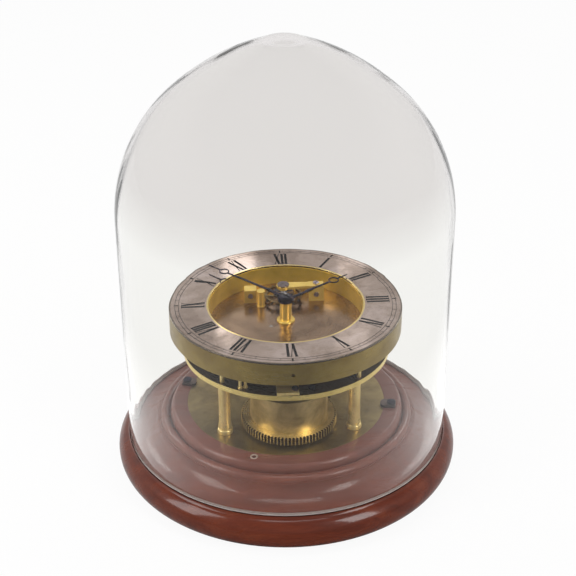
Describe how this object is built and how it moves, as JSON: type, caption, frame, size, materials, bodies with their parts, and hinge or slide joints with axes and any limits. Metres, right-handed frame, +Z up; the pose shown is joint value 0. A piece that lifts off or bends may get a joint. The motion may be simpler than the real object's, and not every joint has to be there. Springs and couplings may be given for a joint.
{
  "type": "table clock",
  "caption": "Table clock with a horizontal dial over an open spring-driven movement, on a turned wooden base under a lift-off glass dome.",
  "frame": {"origin": "centre of the base's underside", "axes": "+Z up along the axis of the dome and the hands, +Y towards XII on the dial"},
  "size_m": [0.226, 0.226, 0.2914],
  "materials": {
    "mahogany": "french polished, glossy",
    "green_cloth": "napped cloth",
    "clear_glass": "blown, clear",
    "aged_brass": "satin, aged lacquer",
    "bright_brass": "polished",
    "silvered_brass": "silvered, matt and tarnished",
    "steel": "polished",
    "spring_steel": "tempered",
    "blued_steel": "heat blued",
    "ruby": "polished stone"
  },
  "bodies": {
    "clock_frame": {"wood_base": "mahogany", "base_pad": "green_cloth", "base_plate": "aged_brass", "hold_down_dogs": "steel", "dog_screws": "blued_steel", "lower_pillars": "bright_brass", "pillar_screws": "steel", "middle_plate": "bright_brass", "upper_pillars": "bright_brass", "top_plate": "aged_brass", "top_plate_screws": "steel", "drum_wall": "aged_brass", "well_wall_ring": "bright_brass", "dial_ring": "silvered_brass", "front_bar": "bright_brass", "middle_plate_screws": "blued_steel", "stay_studs": "bright_brass", "click_screw": "blued_steel", "click_spring": "steel", "centre_cock": "aged_brass", "cock_screw": "blued_steel", "minute_stud": "steel", "centre_post": "bright_brass", "balance_cock": "bright_brass", "cock_cap": "steel", "cock_blocks": "bright_brass", "block_screws": "blued_steel", "side_post": "bright_brass"},
    "dome": {"glass_dome": "clear_glass"},
    "going_barrel": {"great_wheel": "bright_brass", "barrel": "bright_brass", "barrel_cover": "bright_brass"},
    "winding_work": {"barrel_arbor": "steel", "ratchet_wheel": "steel", "mainspring": "spring_steel"},
    "click": {"click": "steel"},
    "intermediate": {"intermediate_arbor": "steel", "intermediate_wheel": "bright_brass"},
    "centre_and_minute_hand": {"centre_arbor": "steel", "centre_wheel": "bright_brass", "cannon_pinion": "steel", "minute_hand": "blued_steel", "hand_collet": "steel"},
    "hour_hand_and_wheel": {"hour_wheel": "bright_brass", "hour_hand": "blued_steel"},
    "minute_wheel": {"minute_wheel": "bright_brass"},
    "third": {"third_arbor": "steel", "third_wheel": "bright_brass"},
    "fourth": {"fourth_arbor": "steel", "fourth_wheel": "bright_brass"},
    "escape": {"escape_arbor": "steel", "escape_wheel": "bright_brass"},
    "lever": {"pallet_lever": "steel", "pallet_stones": "ruby"},
    "balance": {"balance_wheel": "bright_brass", "timing_screws": "bright_brass", "balance_staff": "steel", "hairspring": "spring_steel"}
  },
  "joints": [
    {"name": "dome_lift", "type": "slide", "parent": "clock_frame", "child": "dome", "axis": [0, 0, 1], "range_m": [0, 0.15]},
    {"name": "minute_hand_turn", "type": "hinge", "parent": "clock_frame", "child": "centre_and_minute_hand", "pos_m": [0, 0, 0.09], "axis": [0, 0, -1], "continuous": true},
    {"name": "hour_hand_turn", "type": "hinge", "parent": "clock_frame", "child": "hour_hand_and_wheel", "pos_m": [0, 0, 0.09], "axis": [0, 0, -1], "continuous": true},
    {"name": "minute_wheel_turn", "type": "hinge", "parent": "clock_frame", "child": "minute_wheel", "pos_m": [-0.00983, -0.00688, 0.09], "axis": [0, 0, -1], "continuous": true},
    {"name": "intermediate_turn", "type": "hinge", "parent": "clock_frame", "child": "intermediate", "pos_m": [0.02488, -0.00401, 0.09], "axis": [0, 0, -1], "continuous": true},
    {"name": "barrel_turn", "type": "hinge", "parent": "clock_frame", "child": "going_barrel", "pos_m": [0, -0.028, 0.09], "axis": [0, 0, -1], "continuous": true},
    {"name": "third_turn", "type": "hinge", "parent": "clock_frame", "child": "third", "pos_m": [-0.0212, 0.01224, 0.09], "axis": [0, 0, -1], "continuous": true},
    {"name": "fourth_turn", "type": "hinge", "parent": "clock_frame", "child": "fourth", "pos_m": [-0.02285, 0.03107, 0.09], "axis": [0, 0, -1], "continuous": true},
    {"name": "escape_turn", "type": "hinge", "parent": "clock_frame", "child": "escape", "pos_m": [-0.01008, 0.04104, 0.09], "axis": [0, 0, -1], "continuous": true},
    {"name": "lever_rock", "type": "hinge", "parent": "clock_frame", "child": "lever", "pos_m": [-0.0056, 0.0348, 0.09], "axis": [0, 0, -1], "range_deg": [-5, 5]},
    {"name": "balance_swing", "type": "hinge", "parent": "clock_frame", "child": "balance", "pos_m": [0, 0.027, 0.09], "axis": [0, 0, -1], "range_deg": [-270, 270], "stiffness_Nm_per_rad": 0.000075, "deforming": ["hairspring"]},
    {"name": "winding_turn", "type": "hinge", "parent": "clock_frame", "child": "winding_work", "pos_m": [0, -0.028, 0.09], "axis": [0, 0, -1], "range_deg": [0, 1800], "deforming": ["mainspring"]},
    {"name": "click_lift", "type": "hinge", "parent": "clock_frame", "child": "click", "pos_m": [0.01302, -0.01707, 0.09], "axis": [0, 0, -1], "range_deg": [0, 12], "stiffness_Nm_per_rad": 0.0002, "springref_deg": -8.59, "deforming": ["click_spring"]}
  ],
  "couplings": [
    {"joint": "hour_hand_turn", "follows": "minute_hand_turn", "ratio": 0.083333},
    {"joint": "minute_wheel_turn", "follows": "minute_hand_turn", "ratio": -0.33333},
    {"joint": "intermediate_turn", "follows": "minute_hand_turn", "ratio": -0.16667},
    {"joint": "barrel_turn", "follows": "minute_hand_turn", "ratio": 0.02381},
    {"joint": "third_turn", "follows": "minute_hand_turn", "ratio": -7.5},
    {"joint": "fourth_turn", "follows": "minute_hand_turn", "ratio": 60},
    {"joint": "escape_turn", "follows": "minute_hand_turn", "ratio": -480}
  ]
}
